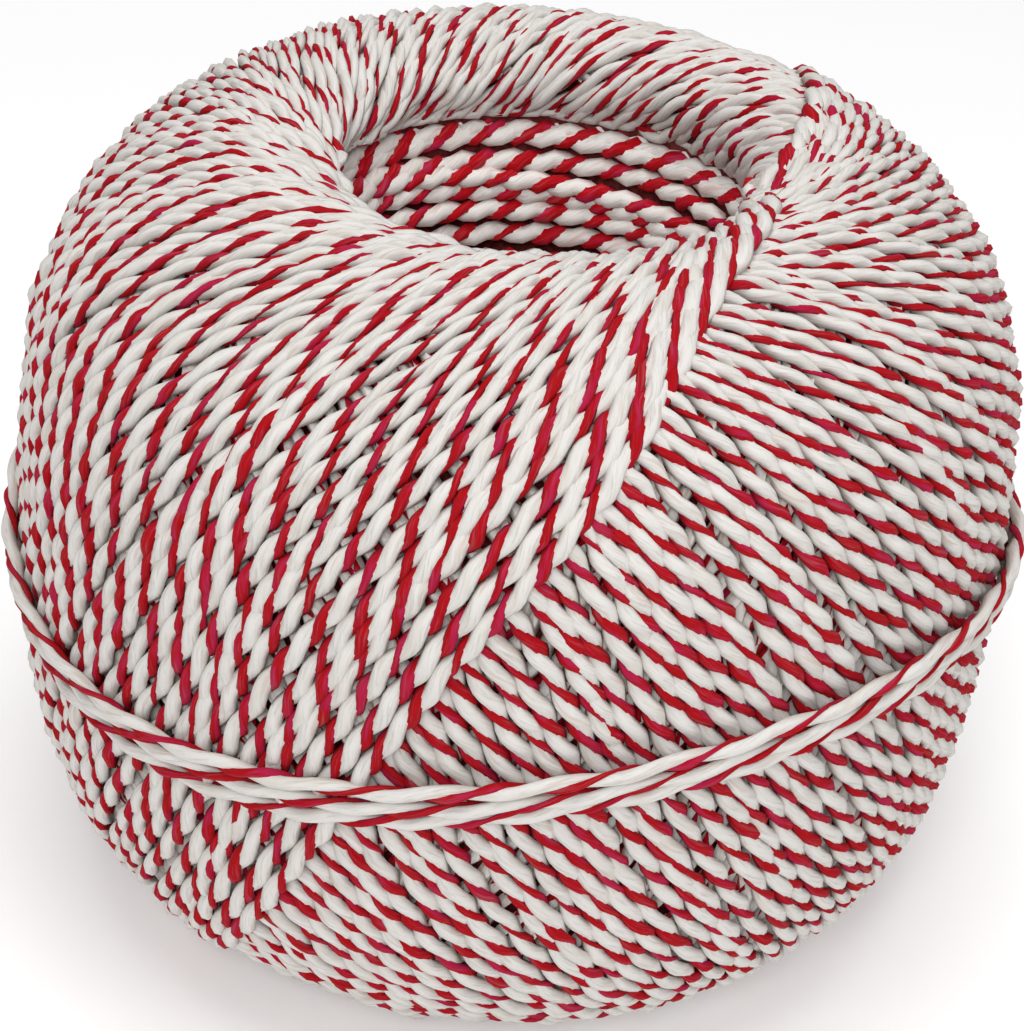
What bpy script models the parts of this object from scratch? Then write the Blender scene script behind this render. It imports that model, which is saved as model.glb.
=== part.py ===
"""Ball of twine with a hole down its middle, standing on a small flat at its base.

One length of twine makes the whole ball, so it is one solid: the barrel that the turns build up,
the hole that they leave, the step where the last turn lies over older ones, the shallow swirl of
the turns and the band of turns laid round the waist. Metres, +Z up, origin at the middle of the base.
"""
import math

import bpy

# Driving sizes
BALL_RADIUS = 0.0455            # axis to the newest turns at mid-height
BARREL_HALF_HEIGHT = 0.0395     # mid-height to where the barrel curve would close
LOWER_STRETCH = 1.045           # the lower half is this much taller than the upper one
BARREL_POWER = 3.1              # 2 is an ellipse, and more is squarer in the shoulder
HOLE_RADIUS = 0.0176            # axis to the wall of the hole
RIM_RADIUS = 0.0079             # rounding from the top into the hole
TWINE_DIAMETER = 0.0017
BASE_FLAT_DEPTH = 0.0012        # how far the lower rim is pressed flat

# How the turns lie. Each turn touches the hole once at the top and once, opposite, at the base.
LAYER_HEIGHT = 0.85 * TWINE_DIAMETER        # added by half a revolution of turns
TURN_SLOPE = 0.564                          # radius over height where a turn touches the hole
LAST_TURN_ANGLE = math.radians(-13.0)       # side of the hole that the last turn touches
END_LAYER_SHARE = 0.35                      # part of the layering left where turns are drawn over an end
LAYERS_FULL_HEIGHT = 0.0087                 # from the middle, up to which layers keep their full height
LAYERS_END_HEIGHT = 0.0363                  # from the middle, where only that part of it is left
LAST_STEP_ANGLE = math.radians(8.0)         # width of the step down beside the last turn
SWIRLS = 16                                 # bundles of turns in one revolution
SWIRL_DEPTH = 0.0004

# The band of turns round the waist: it rises and falls twice, and leans a little
WAIST_HEIGHT = -0.0003
WAIST_LEAN = 0.0014
WAIST_WAVE = 0.0034
WAIST_RAISE = 0.0012
WAIST_HALF_WIDTH = 0.0024
WAIST_ROWS = (0.0005, 0.0011, 0.0018, 0.0024, 0.0033)     # distances of the mesh rows from its middle
WAIST_FADE = 0.022                                        # height by which the rows are level again

# Mesh
ANGLE_STEPS = 96
SIDE_ROWS = 9
RIM_ROWS = 6
WALL_ROWS = 3
MERGE_DISTANCE = 0.00001


def even_height(height):
    """Height above the middle as it would be if the lower half were no taller than the upper one."""
    return height if height > 0.0 else height / LOWER_STRETCH


def barrel_radius(height):
    """Radius of the barrel curve at a height above the middle."""
    share = abs(even_height(height) / BARREL_HALF_HEIGHT)
    return BALL_RADIUS * (1.0 - share ** BARREL_POWER) ** (1.0 / BARREL_POWER)


def rim_centre():
    """Radius and height of the centre of the rim's rounding, which touches the barrel curve."""
    radius = HOLE_RADIUS + RIM_RADIUS
    share = (radius / BALL_RADIUS) ** BARREL_POWER
    height = BARREL_HALF_HEIGHT * (1.0 - share) ** (1.0 / BARREL_POWER)
    fall = (BARREL_HALF_HEIGHT / radius) * share * (1.0 - share) ** (1.0 / BARREL_POWER - 1.0)
    return radius, height - RIM_RADIUS * math.sqrt(1.0 + fall * fall), math.atan2(1.0, fall)


def upper_profile():
    """Points (radius, height) from the waist up the side, over the rim and down the hole."""
    centre_radius, centre_height, start = rim_centre()
    points = [(barrel_radius(height), height) for height in WAIST_ROWS]
    # A turned curve's own angle spaces the side's rows evenly round the shoulder
    first = math.asin((WAIST_ROWS[-1] / BARREL_HALF_HEIGHT) ** (BARREL_POWER / 2.0))
    top_radius = centre_radius + RIM_RADIUS * math.cos(start)
    last = math.acos((top_radius / BALL_RADIUS) ** (BARREL_POWER / 2.0))
    for row in range(1, SIDE_ROWS + 1):
        angle = first + (last - first) * row / SIDE_ROWS
        radius = BALL_RADIUS * math.cos(angle) ** (2.0 / BARREL_POWER)
        points.append((radius, BARREL_HALF_HEIGHT * math.sin(angle) ** (2.0 / BARREL_POWER)))
    for row in range(1, RIM_ROWS + 1):
        angle = start + (math.pi - start) * row / RIM_ROWS
        radius = centre_radius + RIM_RADIUS * math.cos(angle)
        points.append((radius, centre_height + RIM_RADIUS * math.sin(angle)))
    for row in range(1, WALL_ROWS):
        points.append((HOLE_RADIUS, centre_height * (1.0 - row / WALL_ROWS)))
    return points


def closed_profile():
    """The whole outline, from the middle of the hole up, over, down the outer side and back."""
    upper = upper_profile()
    lower = [(radius, -LOWER_STRETCH * height) for radius, height in upper]
    return [(HOLE_RADIUS, 0.0)] + upper[::-1] + [(BALL_RADIUS, 0.0)] + lower


def turned_body(material):
    """Turn the outline about the ball's axis and return the result as a plain mesh object."""
    outline = closed_profile()
    mesh = bpy.data.meshes.new("ball_outline")
    edges = [(index, (index + 1) % len(outline)) for index in range(len(outline))]
    mesh.from_pydata([(radius, 0.0, height) for radius, height in outline], edges, [])
    turned = bpy.data.objects.new("ball_outline", mesh)
    bpy.context.scene.collection.objects.link(turned)
    screw = turned.modifiers.new("turned", "SCREW")
    screw.axis = "Z"
    screw.angle = 2.0 * math.pi
    screw.steps = ANGLE_STEPS
    screw.render_steps = ANGLE_STEPS
    screw.use_merge_vertices = True
    screw.merge_threshold = MERGE_DISTANCE
    bpy.context.view_layer.update()
    evaluated = turned.evaluated_get(bpy.context.evaluated_depsgraph_get())
    body_mesh = bpy.data.meshes.new_from_object(evaluated)
    bpy.data.objects.remove(turned)
    body_mesh.name = "wound_twine_ball"
    body_mesh.materials.append(material)
    return bpy.data.objects.new("wound_twine_ball", body_mesh)


def turn_age(angle, radius, height):
    """How far back, in radians of winding, the turn that shows at this place was laid.

    Two turns cross at every place, one going down to each side of its touch on the hole, and
    the newer of them lies on top. The oldest turns rise again onto the side of the last one.
    """
    swing = math.acos(max(-1.0, min(1.0, TURN_SLOPE * even_height(height) / radius)))
    oldest = 2.0 * math.pi - LAST_STEP_ANGLE
    ages = []
    for side in (-1.0, 1.0):
        age = (LAST_TURN_ANGLE - angle + side * swing) % (2.0 * math.pi)
        rising = (2.0 * math.pi - age) / LAST_STEP_ANGLE
        ages.append(min(age, oldest * smooth(rising)))
    return min(ages)


def smooth(value):
    """Ease from 0 to 1 as value goes from 0 to 1."""
    share = max(0.0, min(1.0, value))
    return share * share * (3.0 - 2.0 * share)


def layer_share(radius, height):
    """1 round the middle of the side, less towards either end, and 0 on the wall of the hole."""
    off_wall = smooth((radius - HOLE_RADIUS) / RIM_RADIUS)
    below_end = (LAYERS_END_HEIGHT - abs(height)) / (LAYERS_END_HEIGHT - LAYERS_FULL_HEIGHT)
    return off_wall * (END_LAYER_SHARE + (1.0 - END_LAYER_SHARE) * smooth(below_end))


def winding_relief(angle, radius, height):
    """Distance out of the plain turned shape that the layers and the swirl of turns give."""
    age = turn_age(angle, radius, height)
    layering = -LAYER_HEIGHT * age / math.pi
    swirl = -0.5 * SWIRL_DEPTH * (1.0 - math.cos(SWIRLS * age))
    return layer_share(radius, height) * (layering + swirl)


def waist_middle(angle):
    """Height of the middle of the waist band at an angle round the ball."""
    return WAIST_HEIGHT + WAIST_LEAN * math.cos(angle) - WAIST_WAVE * math.sin(2.0 * angle)


def lay_turns(body):
    """Move the turned body's vertices out to the winding's relief and its waist band."""
    for vertex in body.data.vertices:
        x, y, height = vertex.co
        radius = math.hypot(x, y)
        angle = math.atan2(y, x)
        outer_side = radius > BALL_RADIUS * 0.7
        if outer_side and abs(height) < WAIST_FADE:
            from_middle = abs(height)
            height += waist_middle(angle) * smooth((WAIST_FADE - from_middle) / (0.8 * WAIST_FADE))
            radius = barrel_radius(height)
            band = WAIST_RAISE * smooth((WAIST_HALF_WIDTH - from_middle) / (0.6 * WAIST_HALF_WIDTH))
        else:
            band = 0.0
        # Straight out from a point inside the ring of the body, so the rims swell evenly
        core_radius, core_height, _ = rim_centre()
        core_z = max(-LOWER_STRETCH * core_height, min(core_height, height))
        out_radius = radius - core_radius
        out_height = height - core_z
        length = math.hypot(out_radius, out_height)
        if length > 0.0:
            out = winding_relief(angle, radius, height) + band
            radius += out * out_radius / length
            height += out * out_height / length
        vertex.co = (radius * math.cos(angle), radius * math.sin(angle), height)


def stand_on_base(body):
    """Press the lower rim flat at height 0 and centre the body over the origin."""
    lowest = LOWER_STRETCH * (rim_centre()[1] + RIM_RADIUS)
    for vertex in body.data.vertices:
        vertex.co.z = max(0.0, vertex.co.z + lowest - BASE_FLAT_DEPTH)
    across = [vertex.co.x for vertex in body.data.vertices]
    along = [vertex.co.y for vertex in body.data.vertices]
    for vertex in body.data.vertices:
        vertex.co.x -= 0.5 * (min(across) + max(across))
        vertex.co.y -= 0.5 * (min(along) + max(along))


def twine_material():
    """Off-white cotton twine with a red ply, as one mean colour."""
    material = bpy.data.materials.new("red_and_white_twine")
    material.use_nodes = True
    shader = material.node_tree.nodes["Principled BSDF"]
    shader.inputs["Base Color"].default_value = (0.72, 0.50, 0.48, 1.0)
    shader.inputs["Roughness"].default_value = 0.9
    shader.inputs["Metallic"].default_value = 0.0
    return material


def main():
    for old in list(bpy.data.objects):
        bpy.data.objects.remove(old, do_unlink=True)
    collection = bpy.data.collections.new("ball_of_twine")
    bpy.context.scene.collection.children.link(collection)
    body = turned_body(twine_material())
    collection.objects.link(body)
    lay_turns(body)
    stand_on_base(body)
    body.data.shade_smooth()
    body.data.update()


main()
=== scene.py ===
"""Ball of red and white cotton twine: its wound turns and their finish, floor, light and camera."""

import math

import bpy
import numpy as np
from mathutils import Matrix, Vector


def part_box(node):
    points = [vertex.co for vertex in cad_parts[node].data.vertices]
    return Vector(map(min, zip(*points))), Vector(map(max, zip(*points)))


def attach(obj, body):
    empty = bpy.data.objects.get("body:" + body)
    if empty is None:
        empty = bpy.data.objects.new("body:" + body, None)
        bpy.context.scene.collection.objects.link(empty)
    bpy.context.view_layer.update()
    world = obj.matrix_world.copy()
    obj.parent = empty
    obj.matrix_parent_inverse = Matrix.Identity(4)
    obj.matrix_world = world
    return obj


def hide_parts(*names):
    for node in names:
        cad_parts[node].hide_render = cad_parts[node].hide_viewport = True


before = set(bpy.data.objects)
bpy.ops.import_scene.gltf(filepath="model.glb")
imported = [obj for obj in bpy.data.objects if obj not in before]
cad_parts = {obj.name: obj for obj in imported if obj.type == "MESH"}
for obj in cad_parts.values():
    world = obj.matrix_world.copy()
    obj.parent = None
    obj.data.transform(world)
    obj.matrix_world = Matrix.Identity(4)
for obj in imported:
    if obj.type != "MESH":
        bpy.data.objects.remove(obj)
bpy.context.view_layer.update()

BALL_NODE = "wound_twine_ball"
BODY = "root"

# ---- Sizes, in metres, worked out from the frame's box ------------------------------------------
box_low, box_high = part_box(BALL_NODE)
BALL_RADIUS = 0.4958 * (box_high.x - box_low.x)     # axis to the crest of the newest turn
BARREL_HALF_HEIGHT = 0.5316 * box_high.z            # middle to where the barrel curve would close
MIDDLE_HEIGHT = 0.5032 * box_high.z                 # of the ball's middle above the surface
LOWER_STRETCH = 1.045                               # the lower half is this much the taller one
BARREL_POWER = 3.1                                  # 2 is an ellipse, and more is squarer
HOLE_RADIUS = 0.3868 * BALL_RADIUS
RIM_RADIUS = 0.1736 * BALL_RADIUS
TWINE_DIAMETER = 0.0374 * BALL_RADIUS
TURN_RADIUS = 0.62 * TWINE_DIAMETER                 # of the twine in a turn, spread by pressing
MILLIMETRE = 0.001

# How the turns lie
TURNS_IN_A_ROUND = 146                  # turns in one whole revolution of the winding
TURN_PIECES = 5                         # pieces that the turns are shared out over
LAYER_HEIGHT = 0.85 * TWINE_DIAMETER    # added by half a round
END_LAYER_SHARE = 0.35                  # of that height, left at the ends of the ball
LAYERS_END_HEIGHT = 0.92 * BARREL_HALF_HEIGHT   # from the middle, where only that share is left
LAYERS_FADE = 0.7 * BARREL_HALF_HEIGHT          # height over which the layers thin to it
LAST_TURN_ANGLE = math.radians(-13.0)   # side of the hole that the last turn touches
TOUCH_SLOPE = 0.564                     # radius over height where a turn touches the rim
COVER_DEPTH = 0.76 * TWINE_DIAMETER     # how deep a covered turn lies beneath the one across it
END_DIVE = 0.85 * TWINE_DIAMETER        # how deep a turn's end goes beneath the turns that cover it
LOWEST_TURN = 1.06 * TURN_RADIUS        # least height of a turn's centre line above the surface
SNUG_WIDTH = 0.97 * TWINE_DIAMETER      # room beside a turn below which it is pressed narrower
LEAST_WIDTH = 0.6                       # share of its width that twine keeps where turns crowd

# How they pass the upper rim. Angles are from a turn's touch on the rim.
RIM_PULL = 0.5 * TWINE_DIAMETER         # how far tight turns sink over the rim into the hole
RIM_PULL_ANGLE = math.radians(24.0)
RIM_PULL_LEFT = 0.9                     # share by which that grows towards the -X side,
RIM_PULL_FAR = 0.5                      # shrinks towards the +Y side
RIM_PULL_RIGHT = 0.6                    # and shrinks towards the +X side
RIM_UNEVENNESS = 3.0                    # how much more than elsewhere turns stand high or low there
LIP_SLIDE = math.radians(24.0)          # how far round the rim turns slip into the hole on its +Y side
LIP_SLIDE_ANGLE = math.radians(24.0)
LIP_DIVE = 2.0 * TWINE_DIAMETER         # how far they then go in behind the lip
LIP_DIVE_ANGLE = math.radians(12.0)
LIP_GAIN = 2.0                          # how fast that side's way of lying sets in round the hole
RIDGE_TURNS = 9.0                       # newest turns, heaped up beside the hole
RIDGE_RISE = 1.2 * TWINE_DIAMETER
RIDGE_REACH = math.radians(42.0)
RIDGE_WAY = (0.7, 0.8)                  # outward and upward shares of the rise

# How the twine is twisted: its plies go round once in a lay, and a whole turn of the ball holds
# this many lays, so that the red ply of one turn lies a fixed step from that of the next
LAYS_IN_A_TURN = 51.48

# The band of turns round the waist
WAIST_HEIGHT = -0.0003
WAIST_LEAN = 0.0014
WAIST_WAVE = 0.0034

rng = np.random.default_rng(20)


def smooth(value):
    """Ease from 0 to 1 as value goes from 0 to 1."""
    share = np.clip(value, 0.0, 1.0)
    return share * share * (3.0 - 2.0 * share)


# ---- The plain turned form that the turns build up ----------------------------------------------
def rim_circle():
    """Radius and height of the centre of the rim's rounding, and the polar angle where it starts."""
    radius = HOLE_RADIUS + RIM_RADIUS
    share = (radius / BALL_RADIUS) ** BARREL_POWER
    height = BARREL_HALF_HEIGHT * (1.0 - share) ** (1.0 / BARREL_POWER)
    fall = (BARREL_HALF_HEIGHT / radius) * share * (1.0 - share) ** (1.0 / BARREL_POWER - 1.0)
    centre_height = height - RIM_RADIUS * math.sqrt(1.0 + fall * fall)
    start = math.atan2(1.0, fall)
    edge = (radius + RIM_RADIUS * math.cos(start), centre_height + RIM_RADIUS * math.sin(start))
    return radius, centre_height, math.atan2(edge[0], edge[1])


RIM_AXIS_RADIUS, RIM_AXIS_HEIGHT, RIM_EDGE_POLAR = rim_circle()


def surface_at(polar):
    """Radius, height and outward direction of the turned form along rays from the ball's middle."""
    across = np.sin(polar)
    up = np.cos(polar)
    steep = np.abs(up)
    barrel = ((across / BALL_RADIUS) ** BARREL_POWER + (steep / BARREL_HALF_HEIGHT) ** BARREL_POWER)
    barrel_distance = barrel ** (-1.0 / BARREL_POWER)
    along = RIM_AXIS_RADIUS * across + RIM_AXIS_HEIGHT * steep
    room = RIM_RADIUS ** 2 - (RIM_AXIS_RADIUS ** 2 + RIM_AXIS_HEIGHT ** 2 - along ** 2)
    rim_distance = along + np.sqrt(np.maximum(room, 0.0))
    on_rim = np.minimum(polar, math.pi - polar) < RIM_EDGE_POLAR
    distance = np.where(on_rim, rim_distance, barrel_distance)
    radius = distance * across
    height = distance * steep
    barrel_out = np.stack([radius ** (BARREL_POWER - 1.0) / BALL_RADIUS ** BARREL_POWER,
                           height ** (BARREL_POWER - 1.0) / BARREL_HALF_HEIGHT ** BARREL_POWER], -1)
    rim_out = np.stack([radius - RIM_AXIS_RADIUS, height - RIM_AXIS_HEIGHT], -1)
    out = np.where(on_rim[..., None], rim_out, barrel_out)
    out = out / np.linalg.norm(out, axis=-1, keepdims=True)
    stretch = np.where(up < 0.0, -LOWER_STRETCH, 1.0)
    out = np.stack([out[..., 0], out[..., 1] / stretch], -1)
    return radius, height * stretch, out / np.linalg.norm(out, axis=-1, keepdims=True)


# ---- Paths of the turns -------------------------------------------------------------------------
class Strands:
    """Stretches of twine gathered for one piece, as arrays of points with their directions."""

    def __init__(self):
        self.stretches = []

    def add(self, centre, outward, lay, shade, least_width=1.0):
        """One stretch: its centre line, the way out of the ball, how many lays along, and a shade.

        It is pressed narrower, down to the least width, where the turns beside it leave it less room.
        """
        along = np.zeros(len(centre))
        along[1:] = np.cumsum(np.linalg.norm(np.diff(centre, axis=0), axis=1))
        tangent = np.gradient(centre, axis=0)
        tangent /= np.linalg.norm(tangent, axis=1, keepdims=True)
        outward = outward - tangent * (outward * tangent).sum(1, keepdims=True)
        outward /= np.linalg.norm(outward, axis=1, keepdims=True)
        sideways = np.cross(tangent, outward)
        apart = 2.0 * math.pi / TURNS_IN_A_ROUND
        room = np.abs(centre[:, 0] * sideways[:, 1] - centre[:, 1] * sideways[:, 0]) * apart
        room = np.clip(room / SNUG_WIDTH, least_width, 1.0)
        self.stretches.append({
            "centre": centre, "outward": outward, "sideways": sideways * room[:, None],
            "lay": lay - math.floor(lay[0]), "along": along / MILLIMETRE, "room": room,
            "map_across": along / along[-1], "shade": np.full(len(centre), shade),
        })

    def mesh(self, name):
        """The centre lines as a mesh of edges that carries what the sweep and the finish read."""
        joined = {key: np.concatenate([stretch[key] for stretch in self.stretches])
                  for key in self.stretches[0]}
        counts = [len(stretch["centre"]) for stretch in self.stretches]
        centre = joined["centre"]
        index = np.arange(len(centre) - 1)
        ends = np.cumsum(counts)[:-1] - 1
        index = np.delete(index, ends)
        mesh = bpy.data.meshes.new(name)
        mesh.vertices.add(len(centre))
        mesh.vertices.foreach_set("co", centre.astype(np.float32).ravel())
        mesh.edges.add(len(index))
        mesh.edges.foreach_set("vertices", np.stack([index, index + 1], -1).astype(np.int32).ravel())
        for key in ("centre", "outward", "sideways"):
            put_vectors(mesh, key, joined[key])
        for key in ("lay", "along", "room", "map_across", "shade"):
            put_numbers(mesh, key, joined[key])
        put_numbers(mesh, "map_row", np.repeat(np.arange(len(counts)), counts) / len(counts))
        put_numbers(mesh, "map_rows", np.full(len(centre), len(counts)))
        mesh.update()
        return mesh


def put_numbers(mesh, name, values):
    """Keep one number a point on the mesh, under a name."""
    layer = mesh.attributes.new(name, "FLOAT", "POINT")
    layer.data.foreach_set("value", np.asarray(values, np.float32))


def put_vectors(mesh, name, values):
    """Keep one vector a point on the mesh, under a name."""
    layer = mesh.attributes.new(name, "FLOAT_VECTOR", "POINT")
    layer.data.foreach_set("vector", np.asarray(values, np.float32).ravel())


def turned_about_rim(radius, height, axis_radius, axis_height, angle):
    """Radius and height turned round the middle of the rim's rounding, from the top into the hole."""
    across = radius - axis_radius
    up = height - axis_height
    return (axis_radius + across * np.cos(angle) - up * np.sin(angle),
            axis_height + across * np.sin(angle) + up * np.cos(angle))


TOUCH_POLAR = math.atan(TOUCH_SLOPE)
FINE_SAMPLES = 1441


def plain_turn():
    """One turn in a plane through the ball's middle, from its touch on the upper rim.

    Returns the length along it, the swing round the ball from that touch, and the radius, height
    and outward direction of the surface under it.
    """
    angle = np.linspace(0.0, 2.0 * math.pi, FINE_SAMPLES)
    polar = np.arccos(np.cos(angle) * math.cos(TOUCH_POLAR))
    swing = np.unwrap(np.arctan2(np.sin(angle), np.cos(angle) * math.sin(TOUCH_POLAR)))
    radius, height, out = surface_at(polar)
    points = np.stack([radius * np.cos(swing), radius * np.sin(swing), height], -1)
    length = np.zeros(FINE_SAMPLES)
    length[1:] = np.cumsum(np.linalg.norm(np.diff(points, axis=0), axis=1))
    return dict(length=length, swing=swing, radius=radius, height=height, out=out)


TURN = plain_turn()
TURN_LENGTH = TURN["length"][-1]
LAY_LENGTH = TURN_LENGTH / LAYS_IN_A_TURN


def length_at_swing(swing):
    """Length along the plain turn to where it has swung this far round the ball."""
    return float(np.interp(swing, TURN["swing"], TURN["length"]))


def drift_waves(count, across, around, size):
    """Waves in the lie of the turns, each value drawn between two: waves from one turn to the next,
    waves round a turn, size in twine diameters, and where each starts."""
    return [(rng.uniform(*across), rng.integers(*around), rng.uniform(*size), rng.uniform(0, LAST_START))
            for _ in range(count)]


LAST_START = 6.28       # just under a whole wave
SIDE_WAVES = drift_waves(6, (0.02, 0.11), (1, 9), (0.12, 0.26))
SIDE_WAVES += [(0.27, 1, 0.17, 0.8), (0.19, 2, 0.13, 2.1)]
RISE_WAVES = drift_waves(5, (0.05, 0.4), (2, 14), (0.02, 0.05))

# What each turn has of its own: its place in twine diameters, its twist in lays, and its shade
TURN_SIDE = rng.normal(0.0, 0.07, TURNS_IN_A_ROUND)
TURN_RISE = rng.normal(0.0, 0.05, TURNS_IN_A_ROUND)
TURN_WAVE_START = rng.uniform(0.0, 2.0 * math.pi, (TURNS_IN_A_ROUND, 2))
TURN_LAY_DRIFT = np.cumsum(rng.normal(0.0, 0.035, TURNS_IN_A_ROUND))
TURN_SHADE = rng.uniform(0.0, 1.0, TURNS_IN_A_ROUND)
SIDE_RIPPLE, SIDE_RIPPLES = 0.05, 9.0       # size in twine diameters, and number round a turn
RISE_RIPPLE, RISE_RIPPLES = 0.03, 14.0
LAY_WAVES = (
    # size in lays, waves round a turn, shift from one turn to the next, share of the turn's own start
    (0.16, 5.0, 0.21, 0.0),
    (0.10, 8.0, -0.37, 1.0),
)


def drift(turn, length, waves):
    """Drift of a turn, in twine diameters: neighbours share it, so they bunch and part."""
    round_share = length / TURN_LENGTH
    total = np.zeros_like(length)
    for across, around, size, start in waves:
        total += size * np.sin(2.0 * math.pi * (across * turn + around * round_share) + start)
    return total


def on_plain_turn(length):
    """Swing, radius, height and the way out, as radius and height, at lengths along the plain turn."""
    wrapped = length % TURN_LENGTH
    at_length = [np.interp(wrapped, TURN["length"], values)
                 for values in (TURN["swing"], TURN["radius"], TURN["height"], *TURN["out"].T)]
    at_length[0] = at_length[0] + 2.0 * math.pi * np.floor(length / TURN_LENGTH)
    return at_length


def near_touch(from_touch, reach, power=2):
    """1 where a turn touches the rim, falling to 0 beyond the reach on either side."""
    return np.exp(-(from_touch / reach) ** power)


def turn_path(turn, start, end, spacing, covered=False):
    """The stretch of one turn between two lengths along it: centre line, way out and lays."""
    count = max(4, int(round((end - start) / spacing)) + 1)
    length = np.linspace(start, end, count)
    around = 2.0 * math.pi * length / TURN_LENGTH
    swing, radius, height, out_radius, out_height = on_plain_turn(length)
    age = turn / TURNS_IN_A_ROUND
    touch = LAST_TURN_ANGLE - 2.0 * math.pi * age
    from_touch = np.abs((swing + 0.5 * math.pi) % math.pi - 0.5 * math.pi)
    at_rim = near_touch(from_touch, RIM_PULL_ANGLE)

    # On the hole's +Y side the turns slip round the rim into the hole
    lip = np.where(height > 0.0, smooth(LIP_GAIN * np.sin(touch - swing)), 0.0)
    slip = LIP_SLIDE * lip * near_touch(from_touch, LIP_SLIDE_ANGLE)
    radius, height = turned_about_rim(radius, height, RIM_AXIS_RADIUS, RIM_AXIS_HEIGHT, slip)
    out_radius, out_height = turned_about_rim(out_radius, out_height, 0.0, 0.0, slip)

    # Each turn wanders, on waves that it shares with its neighbours and on ripples of its own
    own = TURN_WAVE_START[turn]
    side = drift(turn, length % TURN_LENGTH, SIDE_WAVES) + TURN_SIDE[turn]
    side = TWINE_DIAMETER * (side + SIDE_RIPPLE * np.sin(SIDE_RIPPLES * around + own[0]))
    rise = drift(turn, length % TURN_LENGTH, RISE_WAVES)
    rise = rise + TURN_RISE[turn] * (1.0 + RIM_UNEVENNESS * at_rim)
    rise = TWINE_DIAMETER * (rise + RISE_RIPPLE * np.sin(RISE_RIPPLES * around + own[1]))

    # Older turns lie deeper, straight down on the rim's inner side, so that the hole keeps its width
    from_end = smooth((LAYERS_END_HEIGHT - np.abs(height)) / LAYERS_FADE)
    layers = (age + swing / math.pi) % 1.0 if covered else age
    sink = 2.0 * LAYER_HEIGHT * layers * (END_LAYER_SHARE + (1.0 - END_LAYER_SHARE) * from_end)
    inward = 0.5 * TWINE_DIAMETER + (COVER_DEPTH if covered else 0.0) - rise
    down_radius = np.maximum(out_radius, 0.0)
    down_length = np.hypot(down_radius, out_height)
    radius = radius - inward * out_radius - sink * down_radius / down_length
    height = height - inward * out_height - sink * out_height / down_length

    # The newest turns heap up over the rim, and so pass it further out and straighter
    ridge = RIDGE_RISE * math.exp(-2.0 * turn / RIDGE_TURNS) * near_touch(from_touch, RIDGE_REACH, 4)
    ridge = np.where(height > 0.0, ridge, 0.0)
    radius = radius + RIDGE_WAY[0] * ridge
    height = height + RIDGE_WAY[1] * ridge

    # Tight turns sink over the rim
    direction = touch - swing - side / np.maximum(radius, 0.4 * BALL_RADIUS)
    pull = (1.0 + RIM_PULL_LEFT * np.maximum(-np.cos(direction), 0.0)
            - RIM_PULL_FAR * np.maximum(np.sin(direction), 0.0)
            - RIM_PULL_RIGHT * np.maximum(np.cos(direction), 0.0))
    radius = radius - RIM_PULL * pull * at_rim

    # An end dives beneath the newer turns that cover it, and at the lip in behind the rim
    tucked = np.maximum(start + TUCK - length, length - (end - TUCK)) / TUCK
    dive = 0.0 if covered else END_DIVE * smooth(tucked)
    past_touch = np.where(length < 0.0, 0.0, from_touch)
    dive = dive + LIP_DIVE * lip * near_touch(past_touch, LIP_DIVE_ANGLE)
    radius = radius - dive * out_radius
    height = np.maximum(height - dive * out_height + MIDDLE_HEIGHT, LOWEST_TURN)

    centre = np.stack([radius * np.cos(direction), radius * np.sin(direction), height], -1)
    outward = np.stack([out_radius * np.cos(direction), out_radius * np.sin(direction), out_height], -1)
    lay = ((TURNS_IN_A_ROUND - 1 - turn) * TURN_LENGTH + length) / LAY_LENGTH + TURN_LAY_DRIFT[turn]
    for size, waves, shift, own_share in LAY_WAVES:
        lay = lay + size * np.sin(waves * around + shift * turn + own_share * own[0])
    return centre, outward, lay


def least_width(turn):
    """Share of its width that a turn keeps: the newest ones are free, the others pressed together."""
    return 1.0 + (LEAST_WIDTH - 1.0) * float(smooth(turn / RIDGE_TURNS - 0.3))


TOP_SPACING = 0.00072       # between points along a turn that shows
UNDER_SPACING = 0.0026      # and along a covered one
TUCK = 0.0035               # how far a turn goes on beneath the newer ones that cover it
LEAST_COVERED = 3.5 * TUCK  # a shorter covered stretch is left out
HALF_TURN = length_at_swing(math.pi)


def shown_length(turn):
    """Length of a turn from where it touches a rim to where newer turns cover it."""
    return length_at_swing(math.pi - math.pi * turn / TURNS_IN_A_ROUND)


def top_stretches(turn):
    """The two stretches of a turn that show: down from the upper rim, and up from the lower one."""
    shown = shown_length(turn)
    return [(-TUCK, shown + TUCK), (HALF_TURN - TUCK, HALF_TURN + shown + TUCK)]


def under_stretches(turn):
    """The two stretches of a turn that newer turns cover."""
    shown = shown_length(turn)
    if HALF_TURN - shown < LEAST_COVERED:
        return []
    return [(shown + TUCK, HALF_TURN - TUCK),
            (HALF_TURN + shown + TUCK, 2.0 * HALF_TURN - 2.0 * TUCK)]


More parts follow.
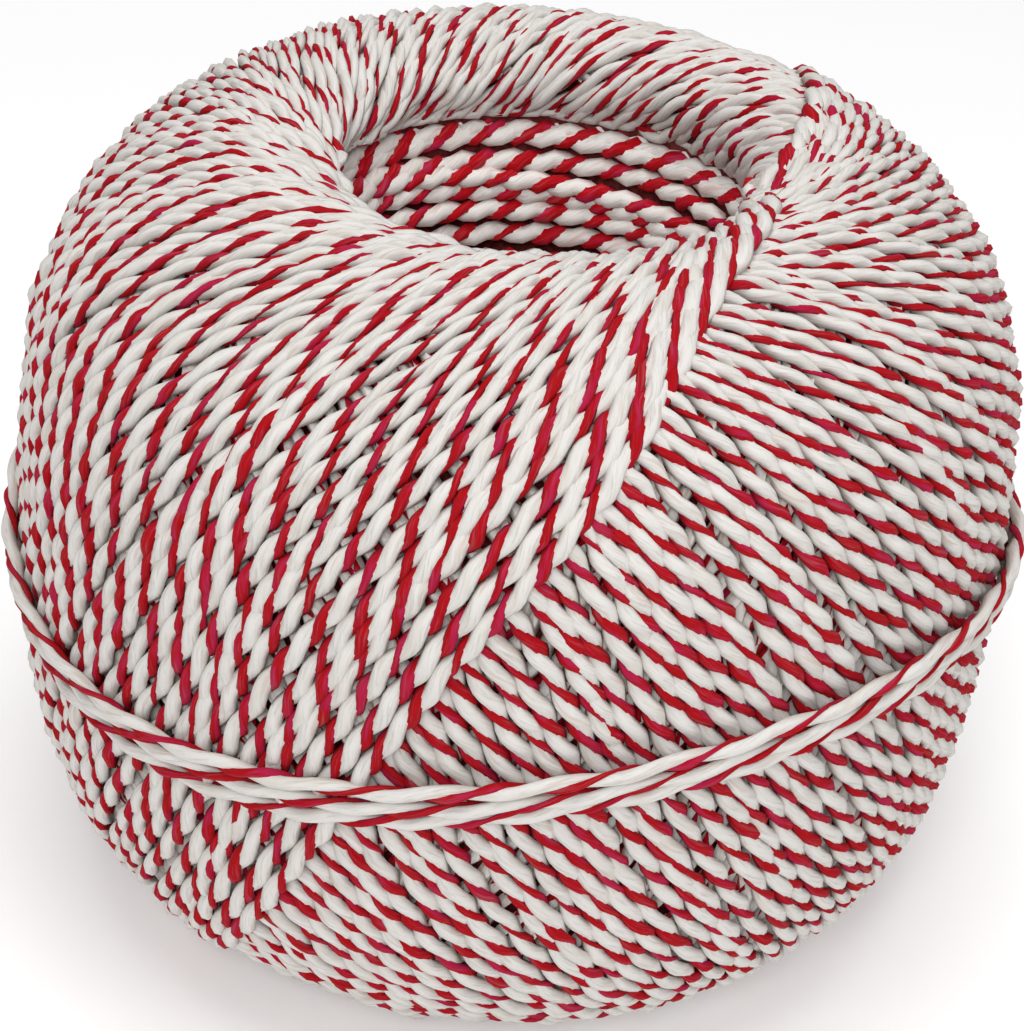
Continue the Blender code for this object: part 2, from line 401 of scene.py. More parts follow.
# ---- Sweep of the twisted twine along a path, with Geometry Nodes --------------------------------
class NodeTree:
    """Short ways to place and join nodes in a tree."""

    def __init__(self, tree):
        self.tree = tree

    def node(self, kind, **settings):
        made = self.tree.nodes.new(kind)
        for name, value in settings.items():
            setattr(made, name, value)
        return made

    def set(self, socket, value):
        if isinstance(value, bpy.types.NodeSocket):
            self.tree.links.new(value, socket)
        else:
            socket.default_value = value

    def fill(self, made, values):
        """Give a node's inputs, by name or number, a value or another node's output each."""
        for socket, value in values.items():
            self.set(made.inputs[socket], value)
        return made

    def math(self, operation, *values):
        made = self.node("ShaderNodeMath", operation=operation)
        return self.fill(made, dict(enumerate(values))).outputs[0]

    def vector(self, operation, *values):
        made = self.node("ShaderNodeVectorMath", operation=operation)
        return self.fill(made, dict(enumerate(values))).outputs[0]

    def scaled(self, vector, scale):
        made = self.node("ShaderNodeVectorMath", operation="SCALE")
        return self.fill(made, {0: vector, "Scale": scale}).outputs[0]

    def noise(self, vector, scale, detail, roughness):
        """Soft noise at a place, about 0.5 on the whole."""
        made = self.fill(self.node("ShaderNodeTexNoise"), {
            "Vector": vector, "Scale": scale, "Detail": detail, "Roughness": roughness})
        return made.outputs[0]

    def join_up(self):
        """Spread the nodes out, so that the tree can be read in the editor."""
        for index, made in enumerate(self.tree.nodes):
            made.location = (220 * (index % 12), -260 * (index // 12))


def read(make, name, kind="FLOAT"):
    """The value that a named attribute holds."""
    found = make.node("GeometryNodeInputNamedAttribute", data_type=kind)
    found.inputs["Name"].default_value = name
    return found.outputs["Attribute"]


def stored(make, geometry, name, value):
    """The geometry with a value kept on its points under a name."""
    made = make.node("GeometryNodeStoreNamedAttribute", data_type="FLOAT", domain="POINT")
    make.set(made.inputs["Geometry"], geometry)
    made.inputs["Name"].default_value = name
    make.set(made.inputs["Value"], value)
    return made.outputs["Geometry"]


SWELLS_PER_MILLIMETRE = 0.30        # along a ply
STRAND_SPACING = 83.0               # how far apart the swells of two stretches are read
PLY_SPACING = 17.0                  # and those of two plies


def ply_tree():
    """Tree that sweeps one ply, a round strand that winds round the centre line of the twine."""
    tree = bpy.data.node_groups.new("ply", "GeometryNodeTree")
    sockets = tree.interface
    sockets.new_socket("Centre lines", in_out="INPUT", socket_type="NodeSocketGeometry")
    for name in ("Ply radius", "Ply offset", "Ply angle", "Ply number", "Outer angle",
                 "Twine radius", "Unevenness", "Crowding gain"):
        sockets.new_socket(name, in_out="INPUT", socket_type="NodeSocketFloat")
    sockets.new_socket("Points round", in_out="INPUT", socket_type="NodeSocketInt")
    sockets.new_socket("Finish", in_out="INPUT", socket_type="NodeSocketMaterial")
    sockets.new_socket("Ply", in_out="OUTPUT", socket_type="NodeSocketGeometry")
    make = NodeTree(tree)
    given = make.node("NodeGroupInput").outputs

    # Section: even points over the outer side, and one underneath
    section = make.fill(make.node("GeometryNodeCurvePrimitiveCircle", mode="RADIUS"), {
        "Resolution": given["Points round"], "Radius": given["Ply radius"]})
    index = make.node("GeometryNodeInputIndex").outputs[0]
    last = make.math("SUBTRACT", given["Points round"], 1.0)
    spread = make.math("DIVIDE", index, make.math("SUBTRACT", last, 1.0))
    outer = make.math("MULTIPLY", make.math("SUBTRACT", make.math("MULTIPLY", spread, 2.0), 1.0),
                      given["Outer angle"])
    is_last = make.math("COMPARE", index, last, 0.5)
    angle = make.math("ADD", make.math("MULTIPLY", outer, make.math("SUBTRACT", 1.0, is_last)),
                      make.math("MULTIPLY", is_last, math.pi))
    profile = stored(make, section.outputs["Curve"], "section_angle", angle)
    profile = stored(make, profile, "section_share", make.math("DIVIDE", index, given["Points round"]))

    curves = make.fill(make.node("GeometryNodeMeshToCurve"), {"Mesh": given["Centre lines"]})
    swept = make.fill(make.node("GeometryNodeCurveToMesh"), {
        "Curve": curves.outputs["Curve"], "Profile Curve": profile, "Fill Caps": True})

    # Cotton is uneven, so a ply swells and thins slowly along its length
    place = make.fill(make.node("ShaderNodeCombineXYZ"), {
        "X": make.math("MULTIPLY", read(make, "along"), SWELLS_PER_MILLIMETRE),
        "Y": make.math("MULTIPLY", read(make, "shade"), STRAND_SPACING),
        "Z": make.math("MULTIPLY", given["Ply number"], PLY_SPACING)})
    swell = make.noise(place.outputs[0], 1.0, 1.0, 0.5)
    swell_share = make.math("MULTIPLY", make.math("SUBTRACT", swell, 0.5), given["Unevenness"])
    crowding = make.math("MULTIPLY", make.math("SUBTRACT", 1.0, read(make, "room")),
                         given["Crowding gain"])
    radius = make.math("MULTIPLY", given["Ply radius"],
                       make.math("ADD", make.math("ADD", 1.0, swell_share), crowding))

    # The ply stands off the twine's centre line, on a side that turns with the twist
    section_angle = read(make, "section_angle")
    turned = make.math("SUBTRACT", given["Ply angle"],
                       make.math("MULTIPLY", read(make, "lay"), 2.0 * math.pi))
    facing = make.math("COSINE", section_angle)
    siding = make.math("SINE", section_angle)
    out_part = make.math("ADD", make.math("MULTIPLY", given["Ply offset"], make.math("COSINE", turned)),
                         make.math("MULTIPLY", radius, facing))
    side_part = make.math("ADD", make.math("MULTIPLY", given["Ply offset"], make.math("SINE", turned)),
                          make.math("MULTIPLY", radius, siding))
    offset = make.vector("ADD", make.scaled(read(make, "outward", "FLOAT_VECTOR"), out_part),
                         make.scaled(read(make, "sideways", "FLOAT_VECTOR"), side_part))
    placed = make.fill(make.node("GeometryNodeSetPosition"), {
        "Geometry": swept.outputs["Mesh"],
        "Position": make.vector("ADD", read(make, "centre", "FLOAT_VECTOR"), offset)})

    # What the finish reads: which way the ply's skin faces, and how far out of the twine it stands
    result = stored(make, placed.outputs["Geometry"], "facing", facing)
    result = stored(make, result, "siding", siding)
    result = stored(make, result, "proud", make.math("DIVIDE", out_part, given["Twine radius"]))
    result = stored(make, result, "ply_number", given["Ply number"])
    shaded = make.fill(make.node("GeometryNodeSetShadeSmooth"), {"Geometry": result})
    finish = make.fill(make.node("GeometryNodeSetMaterial"), {
        "Geometry": shaded.outputs["Geometry"], "Material": given["Finish"]})
    make.fill(make.node("NodeGroupOutput"), {"Ply": finish.outputs["Geometry"]})
    make.join_up()
    return tree


PLIES = (
    # name, angle round the twine, growth where turns crowd, how much more uneven than the white
    ("White", math.pi, 0.1, 1.0),
    ("Red", 0.0, -0.62, 6.0),
)


def twine_tree(ply):
    """Tree that lays a thick white ply and a thinner red one together as twine."""
    tree = bpy.data.node_groups.new("twisted twine", "GeometryNodeTree")
    sockets = tree.interface
    sockets.new_socket("Centre lines", in_out="INPUT", socket_type="NodeSocketGeometry")
    for name in ("Twine radius", "Unevenness"):
        sockets.new_socket(name, in_out="INPUT", socket_type="NodeSocketFloat")
    for ply_name, _, _, _ in PLIES:
        for name, kind in (("share", "Float"), ("spread", "Float"), ("angle", "Float"),
                           ("points", "Int"), ("finish", "Material")):
            sockets.new_socket(f"{ply_name} {name}", in_out="INPUT", socket_type="NodeSocket" + kind)
    sockets.new_socket("Twine", in_out="OUTPUT", socket_type="NodeSocketGeometry")
    make = NodeTree(tree)
    given = make.node("NodeGroupInput").outputs
    joined = make.node("GeometryNodeJoinGeometry")
    for number, (name, start_angle, gain, uneven) in enumerate(PLIES):
        strand = make.node("GeometryNodeGroup", node_tree=ply)
        share = given[name + " share"]
        stand = make.math("MULTIPLY", make.math("SUBTRACT", 1.0, share), given[name + " spread"])
        make.fill(strand, {
            "Centre lines": given["Centre lines"],
            "Ply radius": make.math("MULTIPLY", given["Twine radius"], share),
            "Ply offset": make.math("MULTIPLY", given["Twine radius"], stand),
            "Ply angle": start_angle,
            "Ply number": float(number),
            "Points round": given[name + " points"],
            "Outer angle": given[name + " angle"],
            "Twine radius": given["Twine radius"],
            "Unevenness": make.math("MULTIPLY", given["Unevenness"], uneven),
            "Crowding gain": gain,
            "Finish": given[name + " finish"],
        })
        make.set(joined.inputs[0], strand.outputs["Ply"])
    real = make.fill(make.node("GeometryNodeRealizeInstances"), {"Geometry": joined.outputs[0]})
    make.fill(make.node("NodeGroupOutput"), {"Twine": real.outputs["Geometry"]})
    make.join_up()
    return tree


TWINE = twine_tree(ply_tree())


WHITE_SHARE = 0.71                      # of the twine's radius
WHITE_ANGLE = math.radians(95.0)        # how far round a ply its even points go
RED_ANGLE = math.radians(85.0)
SWEEP_VALUES = ("centre", "outward", "sideways", "section_angle", "section_share", "map_across",
                "map_row", "map_rows", "ply_number", "room")


def swept_piece(name, strands, finishes, twine_radius, white_points=6, red_points=5,
                red_share=0.49, red_spread=0.77, unevenness=0.35):
    """A piece of twine swept along its centre lines, made a plain mesh with its own map."""
    lines = bpy.data.objects.new(name + "_lines", strands.mesh(name + "_lines"))
    bpy.context.scene.collection.objects.link(lines)
    modifier = lines.modifiers.new("twine", "NODES")
    modifier.node_group = TWINE
    values = {"Twine radius": twine_radius, "Unevenness": unevenness,
              "White share": WHITE_SHARE, "Red share": red_share,
              "White spread": 1.0, "Red spread": red_spread,
              "White points": white_points, "Red points": red_points,
              "White angle": WHITE_ANGLE, "Red angle": RED_ANGLE,
              "White finish": finishes[0], "Red finish": finishes[1]}
    for item in TWINE.interface.items_tree:
        if item.in_out == "INPUT" and item.name in values:
            modifier[item.identifier] = values[item.name]
    bpy.context.view_layer.update()
    mesh = bpy.data.meshes.new_from_object(lines.evaluated_get(bpy.context.evaluated_depsgraph_get()))
    bpy.data.objects.remove(lines)
    mesh.name = name
    piece = bpy.data.objects.new(name, mesh)
    bpy.context.scene.collection.objects.link(piece)
    face_outwards(mesh)
    lay_map(mesh, min(white_points, red_points))
    for spare in SWEEP_VALUES:
        if spare in mesh.attributes:
            mesh.attributes.remove(mesh.attributes[spare])
    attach(piece, BODY)
    return piece


def numbers(mesh, name):
    """The numbers that the mesh keeps under a name."""
    layer = mesh.attributes[name]
    values = np.empty(len(layer.data), np.float32)
    layer.data.foreach_get("value", values)
    return values


def vectors(mesh, name):
    """The vectors that the mesh keeps under a name."""
    layer = mesh.attributes[name]
    values = np.empty(len(layer.data) * 3, np.float32)
    layer.data.foreach_get("vector", values)
    return values.reshape(-1, 3)


def face_outwards(mesh):
    """Turn the faces over if most of them look in towards their own centre line."""
    corner = np.empty(len(mesh.loops), np.int32)
    mesh.loops.foreach_get("vertex_index", corner)
    first = np.empty(len(mesh.polygons), np.int32)
    mesh.polygons.foreach_get("loop_start", first)
    normal = np.empty(len(mesh.polygons) * 3, np.float32)
    mesh.polygons.foreach_get("normal", normal)
    places = np.empty(len(mesh.vertices) * 3, np.float32)
    mesh.vertices.foreach_get("co", places)
    out = places.reshape(-1, 3) - vectors(mesh, "centre")
    if (out[corner[first]] * normal.reshape(-1, 3)).sum() < 0.0:
        mesh.flip_normals()


MAP_MARGIN = 0.04       # share of a row of the map left free on either side
PAST_START = 0.35       # a face whose mean share round is above this closes the ring


def lay_map(mesh, points_round):
    """Lay every stretch out as one row of the map: along the twine across it, round the twine up it."""
    corner = np.empty(len(mesh.loops), np.int32)
    mesh.loops.foreach_get("vertex_index", corner)
    total = np.empty(len(mesh.polygons), np.int32)
    mesh.polygons.foreach_get("loop_total", total)
    face = np.repeat(np.arange(len(total)), total)
    round_share = numbers(mesh, "section_share")[corner]
    mean = np.bincount(face, round_share) / total
    wraps = (round_share < 0.5 / points_round) & (mean[face] > PAST_START)
    round_share = round_share + wraps
    rows = 2.0 * numbers(mesh, "map_rows")[corner]
    row = numbers(mesh, "map_row")[corner] + numbers(mesh, "ply_number")[corner] / rows
    layer = mesh.uv_layers.new(name="OFBake")
    up_row = MAP_MARGIN + (1.0 - 2.0 * MAP_MARGIN) * round_share
    uv = np.stack([numbers(mesh, "map_across")[corner], row + up_row / rows], -1)
    layer.uv.foreach_set("vector", uv.astype(np.float32).ravel())


# ---- Finishes -----------------------------------------------------------------------------------
def colour(red, green, blue):
    """A screen colour, 0 to 255 a channel, as the linear one that shaders use."""
    linear = []
    for value in (red, green, blue):
        share = value / 255.0
        linear.append(share / 12.92 if share <= 0.04045 else ((share + 0.055) / 1.055) ** 2.4)
    return (*linear, 1.0)


def shader_group(name, inputs, outputs):
    """An empty shader group with named float or colour inputs and outputs."""
    group = bpy.data.node_groups.new(name, "ShaderNodeTree")
    for socket_name, kind, value in inputs:
        socket = group.interface.new_socket(socket_name, in_out="INPUT", socket_type=kind)
        socket.default_value = value
    for socket_name, kind in outputs:
        group.interface.new_socket(socket_name, in_out="OUTPUT", socket_type=kind)
    make = NodeTree(group)
    return make, make.node("NodeGroupInput"), make.node("NodeGroupOutput")


def ramp(make, value, low, high, most=1.0):
    """Smooth step from 0, where a value is at one level, to the most, where it is at another."""
    made = make.node("ShaderNodeMapRange", interpolation_type="SMOOTHSTEP")
    return make.fill(made, dict(enumerate((value, low, high, 0.0, most)))).outputs[0]


def mixed(make, share, first, second, blend="MIX"):
    """The first colour with a share of the second mixed in."""
    made = make.node("ShaderNodeMix", data_type="RGBA", blend_type=blend)
    return make.fill(made, {0: share, 6: first, 7: second}).outputs[2]


FIBRE_TWIST = 2.2           # radians that fibres go round their ply in a lay of the twine
SHADE_SPACING = 91.0        # how far apart the fibres of two stretches are read
# Fineness round the ply and along it, the latter in a millimetre; then detail and roughness
FIBRE_NOISE = (3.4, 0.45, 3.0, 0.65)
CREASE_NOISE = (1.4, 0.26, 2.0, 0.5)
PATCH_NOISE = (0.6, 0.22, 2.0, 0.6)


def fibre_group():
    """Fibres, soft creases, and painted shade on the low sides and in the creases of one ply, from what
    the sweep leaves on the mesh.
    """
    F, C = "NodeSocketFloat", "NodeSocketColor"
    make, given, made = shader_group("cotton fibres", [
        ("Facing", F, 1.0), ("Siding", F, 0.0), ("Proud", F, 1.0), ("Lay", F, 0.0), ("Along", F, 0.0),
        ("Shade", F, 0.5), ("Cloth", C, (0.8, 0.8, 0.8, 1.0)), ("Patch", C, (0.7, 0.7, 0.7, 1.0)),
        ("Fibre", C, (0.6, 0.6, 0.6, 1.0)), ("Shadow", C, (0.4, 0.3, 0.25, 1.0)),
        ("Shadow depth", F, 0.8),
    ], [("Colour", C), ("Height", F)])
    around = make.math("ARCTAN2", given.outputs["Siding"], given.outputs["Facing"])
    yarn = make.math("ADD", around, make.math("MULTIPLY", given.outputs["Lay"], FIBRE_TWIST))
    offset = make.math("MULTIPLY", given.outputs["Shade"], SHADE_SPACING)

    def on_yarn(around_scale, along_scale, detail, roughness):
        """Noise that runs with the fibres: round the ply, and along it."""
        length = make.math("MULTIPLY", given.outputs["Along"], along_scale)
        place = make.fill(make.node("ShaderNodeCombineXYZ"), {
            "X": make.math("MULTIPLY", make.math("COSINE", yarn), around_scale),
            "Y": make.math("MULTIPLY", make.math("SINE", yarn), around_scale),
            "Z": make.math("ADD", offset, length)})
        return make.noise(place.outputs[0], 1.0, detail, roughness)

    fibres = on_yarn(*FIBRE_NOISE)
    creases = on_yarn(*CREASE_NOISE)
    patches = on_yarn(*PATCH_NOISE)
    cloth = mixed(make, ramp(make, patches, 0.50, 0.66), given.outputs["Cloth"], given.outputs["Patch"])
    cloth = mixed(make, ramp(make, fibres, 0.50, 0.72, 0.7), cloth, given.outputs["Fibre"])
    # Painted shade along the creases: the cloth turns towards the shadow colour there
    cloth = mixed(make, ramp(make, creases, 0.42, 0.28, 0.35), cloth, given.outputs["Shadow"])
    # Painted shade: a ply's low sides, which lie in the shade of its neighbours, are darkened, most of
    # all where a crease goes in
    sunk = make.math("ADD", given.outputs["Proud"], make.math("MULTIPLY", creases, 0.25))
    deep = make.math("MULTIPLY", ramp(make, sunk, 0.52, -0.10), given.outputs["Shadow depth"])
    dark = mixed(make, 1.0, cloth, given.outputs["Shadow"], "MULTIPLY")
    make.set(made.inputs["Colour"], mixed(make, deep, cloth, dark))
    height = make.math("ADD", make.math("MULTIPLY", fibres, 0.45), make.math("MULTIPLY", creases, 0.55))
    make.set(made.inputs["Height"], height)
    make.join_up()
    return make.tree


FIBRES = fibre_group()


BUMP_STRENGTH = 0.6
BUMP_DEPTH = 0.00020
MATT = 0.9                  # roughness of dry cotton
SHEEN_LEVEL = 0.15


def cotton(name, cloth, patch, fibre, shadow, shadow_depth):
    """Matt cotton ply with fine fibres along it."""
    material = bpy.data.materials.new(name)
    material.use_nodes = True
    make = NodeTree(material.node_tree)
    shader = material.node_tree.nodes["Principled BSDF"]
    plies = make.node("ShaderNodeGroup", node_tree=FIBRES)
    for socket in ("Facing", "Siding", "Proud", "Lay", "Along", "Shade"):
        found = make.node("ShaderNodeAttribute", attribute_name=socket.lower())
        make.set(plies.inputs[socket], found.outputs["Fac"])
    make.fill(plies, {"Cloth": cloth, "Patch": patch, "Fibre": fibre, "Shadow": shadow,
                      "Shadow depth": shadow_depth})
    raised = make.fill(make.node("ShaderNodeBump"), {
        "Strength": BUMP_STRENGTH, "Distance": BUMP_DEPTH, "Height": plies.outputs["Height"]})
    make.fill(shader, {"Base Color": plies.outputs["Colour"], "Normal": raised.outputs["Normal"],
                       "Roughness": MATT, "Specular IOR Level": SHEEN_LEVEL})
    make.join_up()
    return material


WHITE = colour(213, 210, 206)
WHITE_PATCH = colour(207, 203, 196)
WHITE_FIBRE = colour(180, 176, 170)
RED = colour(158, 6, 16)
CRIMSON = colour(166, 26, 66)
RED_FIBRE = colour(176, 56, 72)
# Painted shade: the colours that the cloth is darkened towards in its creases and on the low sides of
# its plies
SHADOW = colour(180, 152, 134)
RED_SHADOW = colour(150, 90, 90)
HOLE_SHADOW = colour(200, 110, 104)     # red with the light that goes from ply to ply
GAP_SHADOW = colour(190, 142, 104)      # the same, browner in the gaps of the side
# Painted shade: the inner winding seen deep in the gaps has the red of its twine, darkened as it looks
# in shade
PACKED_IN_SHADE = colour(120, 46, 42)
PACKED_IN_DEEP_SHADE = colour(92, 12, 18)


def cottons(name, painted_light=1.0, shadow_depth=0.30, shadow=SHADOW):
    """The white and the red finish of one piece, with painted light that makes it brighter by a factor,
    and its painted shade.
    """
    def with_painted_light(value):
        return tuple(channel * painted_light for channel in value[:3]) + (1.0,)

    white = cotton("white_" + name, with_painted_light(WHITE), with_painted_light(WHITE_PATCH), with_painted_light(WHITE_FIBRE), shadow, shadow_depth)
    red = cotton("red_" + name, with_painted_light(RED), with_painted_light(CRIMSON), with_painted_light(RED_FIBRE), RED_SHADOW, shadow_depth)
    return white, red


# ---- Pieces -------------------------------------------------------------------------------------
def wound_turns():
    """The turns that show, newest first, in pieces of much the same length of twine."""
    finishes = cottons("cotton")
    lengths = np.array([sum(end - start for start, end in top_stretches(turn))
                        for turn in range(TURNS_IN_A_ROUND)])
    share = (np.cumsum(lengths) - lengths) / lengths.sum()
    made = []
    for number in range(TURN_PIECES):
        strands = Strands()
        for turn in np.flatnonzero((share * TURN_PIECES).astype(int) == number):
            for start, end in top_stretches(turn):
                path = turn_path(turn, start, end, TOP_SPACING)
                strands.add(*path, TURN_SHADE[turn], least_width(turn))
        made.append(swept_piece(f"wound_turns_{number + 1}", strands, finishes, TURN_RADIUS))
    return made


def crossing_turns():
    """The covered stretches of the same turns, which show in the gaps between newer ones."""
    strands = Strands()
    for turn in range(TURNS_IN_A_ROUND):
        for start, end in under_stretches(turn):
            path = turn_path(turn, start, end, UNDER_SPACING, covered=True)
            strands.add(*path, TURN_SHADE[turn], LEAST_WIDTH)
    # Painted light: the covered turns are made brighter than the others, and their shade is painted
    # browner
    finishes = cottons("shaded_cotton", 1.15, shadow=GAP_SHADOW)
    return swept_piece("crossing_turns", strands, finishes, TURN_RADIUS, white_points=4, red_points=3,
                       red_share=0.58, red_spread=1.0, unevenness=0.0)


HOLE_TWINE_DIAMETER = 1.28 * TWINE_DIAMETER     # slack, so thicker, where the first turns line the hole
HOLE_LAY_LENGTH = 0.76 * LAY_LENGTH
RING_TOP = RIM_AXIS_HEIGHT + 0.3 * RIM_RADIUS   # above the ball's middle
RING_PITCH = 0.80 * HOLE_TWINE_DIAMETER
RING_ROUND = 2.0 * math.pi * 1.02               # a ring's ends lie a little past one another
RING_POINTS = 104
RING_LEAN = 0.7 * RING_PITCH
RING_WAVE = 0.14 * RING_PITCH
RING_RIPPLE = 0.15 * TWINE_DIAMETER             # in and out of the wall
RING_INSET = 0.05 * TWINE_DIAMETER              # behind the wall
LIP_HEIGHT = RIM_AXIS_HEIGHT - 1.2 * HOLE_TWINE_DIAMETER
LIP_LOWERING = 0.9      # share of its rise above that height which a ring loses on the +Y side
LIP_BACKING = 0.3       # share of it by which the ring goes back instead
RECESS_HEIGHT = RIM_AXIS_HEIGHT - HOLE_TWINE_DIAMETER       # the recess beneath the lip is deepest
RECESS_FADE = 4.0 * HOLE_TWINE_DIAMETER


def ring_path(angle, radius, height, out=1.0):
    """Points and outward directions round the ball's axis, the latter turned in if out is -1."""
    centre = np.stack([radius * np.cos(angle), radius * np.sin(angle), height + MIDDLE_HEIGHT], -1)
    return centre, np.stack([out * np.cos(angle), out * np.sin(angle), 0.0 * angle], -1)


def hole_lining_turns():
    """Slack turns stacked down the wall of the hole, each a ring that leans and wavers a little."""
    strands = Strands()
    angle = np.linspace(0.0, RING_ROUND, RING_POINTS)
    far = smooth(LIP_GAIN * np.sin(angle))
    lay_start = 0.0
    for ring in range(int(2.0 * RING_TOP / RING_PITCH)):
        wave = rng.uniform(0.0, 2.0 * math.pi)
        lean = RING_LEAN * math.sin(0.8 * ring)
        height = RING_TOP - RING_PITCH * (ring + 0.5) + RING_PITCH * angle / (2.0 * math.pi)
        height = height + lean * np.sin(angle + 0.35 * ring) + RING_WAVE * np.sin(3.0 * angle + wave)
        # On the +Y side the uppermost rings lie lower and further back, beneath the lip
        over = np.maximum(height - LIP_HEIGHT, 0.0)
        height = height - LIP_LOWERING * far * over
        recess = TWINE_DIAMETER * far * smooth(1.0 - (RECESS_HEIGHT - height) / RECESS_FADE)
        radius = HOLE_RADIUS + 0.5 * HOLE_TWINE_DIAMETER + RING_INSET + recess
        radius = radius + LIP_BACKING * far * over + TWINE_DIAMETER * rng.normal(0.0, 0.12)
        radius = radius + RING_RIPPLE * np.sin(2.0 * angle + wave)
        lay = lay_start + radius * angle / HOLE_LAY_LENGTH
        lay_start = lay[-1] + rng.uniform(-0.1, 0.1)
        strands.add(*ring_path(angle, radius, height, -1.0), lay, rng.uniform())
    # Painted light: the hole's cotton is made brighter, and its shade is painted red
    finishes = cottons("hole_cotton", 1.25, 0.35, HOLE_SHADOW)
    return swept_piece("hole_lining_turns", strands, finishes, 0.56 * HOLE_TWINE_DIAMETER,
                       red_share=0.56, red_spread=0.95)


def waist_middle(angle):
    """Height of the waist band above the ball's middle, at an angle round it."""
    return WAIST_HEIGHT + WAIST_LEAN * np.cos(angle) - WAIST_WAVE * np.sin(2.0 * angle)


WAIST_TURNS = (
    # centre line up from the band's middle and out from the barrel, in twine diameters; first lay
    (0.62, 0.22, 0.00),
    (-0.28, 0.12, 0.35),
    (-1.05, 0.00, 0.80),
)
WAIST_LAYS = round(2.0 * math.pi * BALL_RADIUS / (1.6 * LAY_LENGTH))    # whole, to close a ring
WAIST_POINTS = 480


def waist_turns():
    """The few turns laid round the waist over all the others, drawn tight and so less twisted."""
    strands = Strands()
    angle = np.linspace(0.0, 2.0 * math.pi, WAIST_POINTS)
    for number, (up, out, start) in enumerate(WAIST_TURNS):
        waver = 0.10 * np.sin(3.0 * angle + 2.1 * number) + 0.07 * np.sin(5.0 * angle + 1.3 * number)
        height = waist_middle(angle) + (up + waver) * TWINE_DIAMETER
        fall = np.abs(height / BARREL_HALF_HEIGHT) ** BARREL_POWER
        radius = BALL_RADIUS * (1.0 - fall) ** (1.0 / BARREL_POWER) + out * TWINE_DIAMETER
        lay = start + WAIST_LAYS * angle / (2.0 * math.pi)
        strands.add(*ring_path(angle, radius, height), lay, rng.uniform())
    return swept_piece("waist_turns", strands, cottons("waist_cotton"), 0.5 * TWINE_DIAMETER,
                       white_points=9, red_points=7, red_share=0.38)


CORE_DEPTH = 2.6 * TWINE_DIAMETER       # beneath the newest turns
CORE_LEAST_INWARD = 0.35                # share of that depth taken off the radius at the ends
CORE_WALL = HOLE_RADIUS + 2.0 * TWINE_DIAMETER
CORE_WALL_HEIGHTS = (0.3 * MIDDLE_HEIGHT, 1.7 * MIDDLE_HEIGHT)
CORE_POLAR = 0.75 * TOUCH_POLAR         # where its outer side starts, from the axis
CORE_ROWS, CORE_COLUMNS = 40, 96
SPECKLES_PER_METRE = 1400.0


def shaded_packed_cotton():
    """Cotton deep in the ball: the red of its twine with painted shade, red and dark red in specks."""
    material = bpy.data.materials.new("shaded_packed_cotton")
    material.use_nodes = True
    make = NodeTree(material.node_tree)
    shader = material.node_tree.nodes["Principled BSDF"]
    place = make.node("ShaderNodeTexCoord").outputs["Object"]
    speckle = ramp(make, make.noise(place, SPECKLES_PER_METRE, 2.0, 0.6), 0.4, 0.6)
    make.set(shader.inputs["Base Color"], mixed(make, speckle, PACKED_IN_SHADE, PACKED_IN_DEEP_SHADE))
    shader.inputs["Roughness"].default_value = 0.95
    make.join_up()
    return material


def core():
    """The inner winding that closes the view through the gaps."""
    polar = np.linspace(CORE_POLAR, math.pi - CORE_POLAR, CORE_ROWS)
    radius, height, out = surface_at(polar)
    radius = np.maximum(radius - CORE_DEPTH * np.maximum(out[:, 0], CORE_LEAST_INWARD), CORE_WALL)
    height = np.maximum(height - CORE_DEPTH * out[:, 1] + MIDDLE_HEIGHT, TWINE_DIAMETER)
    radius = np.concatenate([radius, [CORE_WALL, CORE_WALL]])
    height = np.concatenate([height, CORE_WALL_HEIGHTS])
    angle = np.linspace(0.0, 2.0 * math.pi, CORE_COLUMNS, endpoint=False)
    points = np.stack([radius[:, None] * np.cos(angle), radius[:, None] * np.sin(angle),
                       np.repeat(height[:, None], CORE_COLUMNS, 1)], -1).reshape(-1, 3)
    faces = []
    for row in range(len(radius)):
        here = row * CORE_COLUMNS
        below = (row + 1) % len(radius) * CORE_COLUMNS
        for column in range(CORE_COLUMNS):
            beside = (column + 1) % CORE_COLUMNS
            faces.append((here + column, below + column, below + beside, here + beside))
    mesh = bpy.data.meshes.new("packed_core")
    mesh.from_pydata(points.tolist(), [], faces)
    mesh.shade_smooth()
    mesh.materials.append(shaded_packed_cotton())
    piece = bpy.data.objects.new("packed_core", mesh)
    bpy.context.scene.collection.objects.link(piece)
    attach(piece, BODY)
    return piece


# ---- Floor, light and camera --------------------------------------------------------------------
FLOOR_REACH = 1.5
FLOOR_COLOUR = (0.88, 0.88, 0.88, 1.0)
FLOOR_GLOW = 0.15           # keeps the floor near white beside the ball's shadow
PURE_WHITE = (1.0, 1.0, 1.0, 1.0)


def floor():
    """Plain pale floor that the ball stands on."""
    mesh = bpy.data.meshes.new("floor")
    corners = [(-1.0, -1.0), (1.0, -1.0), (1.0, 1.0), (-1.0, 1.0)]
    mesh.from_pydata([(FLOOR_REACH * x, FLOOR_REACH * y, 0.0) for x, y in corners], [], [(0, 1, 2, 3)])
    material = bpy.data.materials.new("pale_floor")
    material.use_nodes = True
    shader = material.node_tree.nodes["Principled BSDF"]
    shader.inputs["Base Color"].default_value = FLOOR_COLOUR
    shader.inputs["Roughness"].default_value = MATT
    shader.inputs["Emission Color"].default_value = PURE_WHITE
    shader.inputs["Emission Strength"].default_value = FLOOR_GLOW
    mesh.materials.append(material)
    piece = bpy.data.objects.new("floor", mesh)
    bpy.context.scene.collection.objects.link(piece)


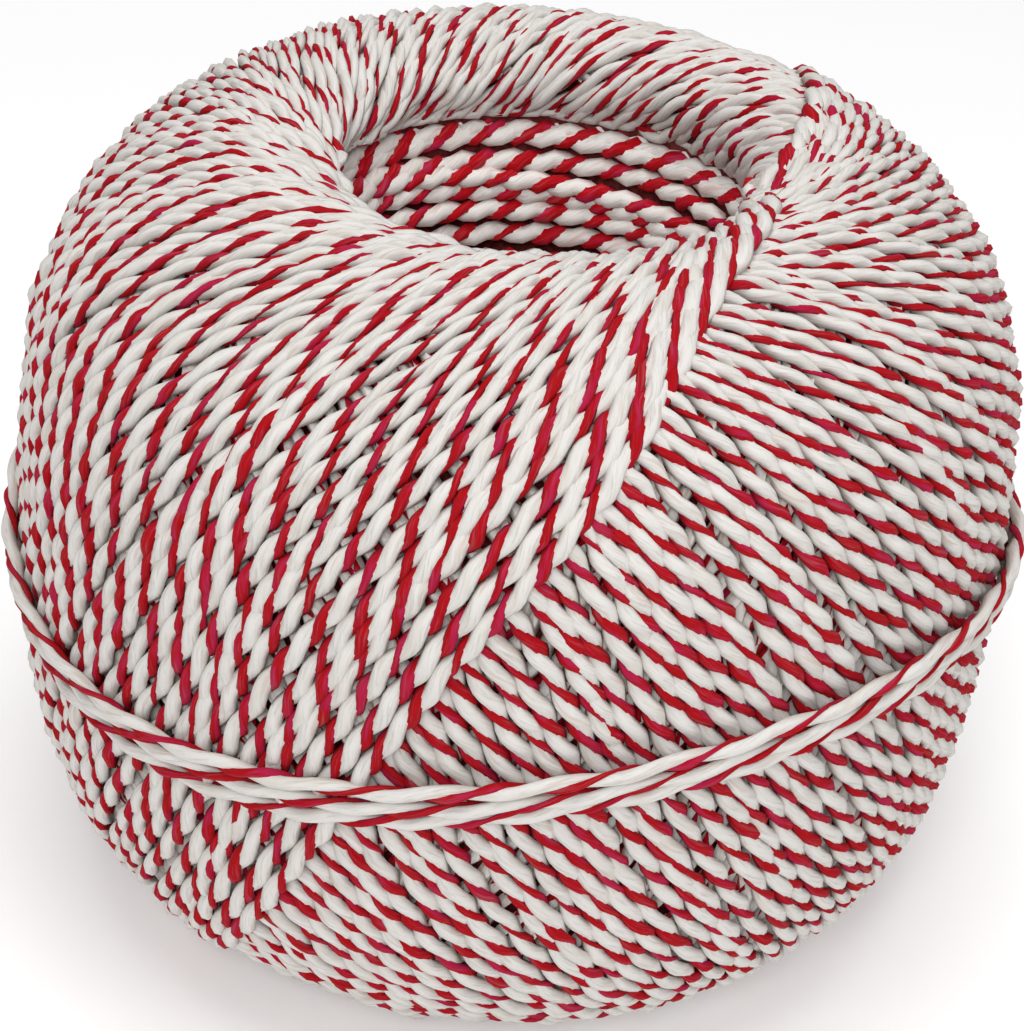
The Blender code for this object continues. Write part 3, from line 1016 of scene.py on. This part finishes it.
BALL_MIDDLE = Vector((0.0, 0.0, MIDDLE_HEIGHT))
LAMPS = (
    # name, place in metres, width in metres, power in watts
    ("key", (-0.08, -0.74, 0.62), 0.40, 3.7),
    ("fill", (0.6, -0.4, 0.35), 0.6, 0.7),
    ("top", (0.0, -0.1, 0.9), 0.6, 4.1),
)
WORLD_STRENGTH = 0.36


def lights():
    """Round soft lamps turned to the ball, and an even white world."""
    for name, place, width, power in LAMPS:
        light = bpy.data.lights.new(name, "AREA")
        light.shape = "DISK"
        light.size = width
        light.energy = power
        lamp = bpy.data.objects.new(name, light)
        lamp.location = place
        lamp.rotation_euler = (BALL_MIDDLE - Vector(place)).to_track_quat("-Z", "Y").to_euler()
        bpy.context.scene.collection.objects.link(lamp)
    world = bpy.data.worlds.new("studio")
    world.use_nodes = True
    world.node_tree.nodes["Background"].inputs["Color"].default_value = PURE_WHITE
    world.node_tree.nodes["Background"].inputs["Strength"].default_value = WORLD_STRENGTH
    bpy.context.scene.world = world
    bpy.context.scene.view_settings.view_transform = "Standard"


CAMERA_DISTANCE = 6.0 * BALL_RADIUS
CAMERA_ELEVATION = math.radians(32.4)
CAMERA_ROLL = math.radians(4.07)
CAMERA_FIELD = 2.0 * math.atan(0.173031)    # half the width seen, as a share of the distance
CAMERA_DROP = math.atan(0.0084488)          # the ball stands this much above the line of sight


def camera():
    """Camera in front of the ball and above it, tipped and rolled a little."""
    data = bpy.data.cameras.new("camera")
    data.sensor_fit = "HORIZONTAL"
    data.angle = CAMERA_FIELD
    eye = bpy.data.objects.new("camera", data)
    away = Vector((0.0, -math.cos(CAMERA_ELEVATION), math.sin(CAMERA_ELEVATION)))
    place = BALL_MIDDLE + away * CAMERA_DISTANCE
    look = (-away).to_track_quat("-Z", "Y").to_matrix().to_4x4()
    tip = Matrix.Rotation(-CAMERA_DROP, 4, "X")
    roll = Matrix.Rotation(CAMERA_ROLL, 4, "Z")
    eye.matrix_world = Matrix.Translation(place) @ look @ tip @ roll
    bpy.context.scene.collection.objects.link(eye)
    bpy.context.scene.camera = eye


camera()
lights()
floor()
pieces = wound_turns()
pieces.append(crossing_turns())
pieces.append(hole_lining_turns())
pieces.append(waist_turns())
pieces.append(core())
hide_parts(BALL_NODE)
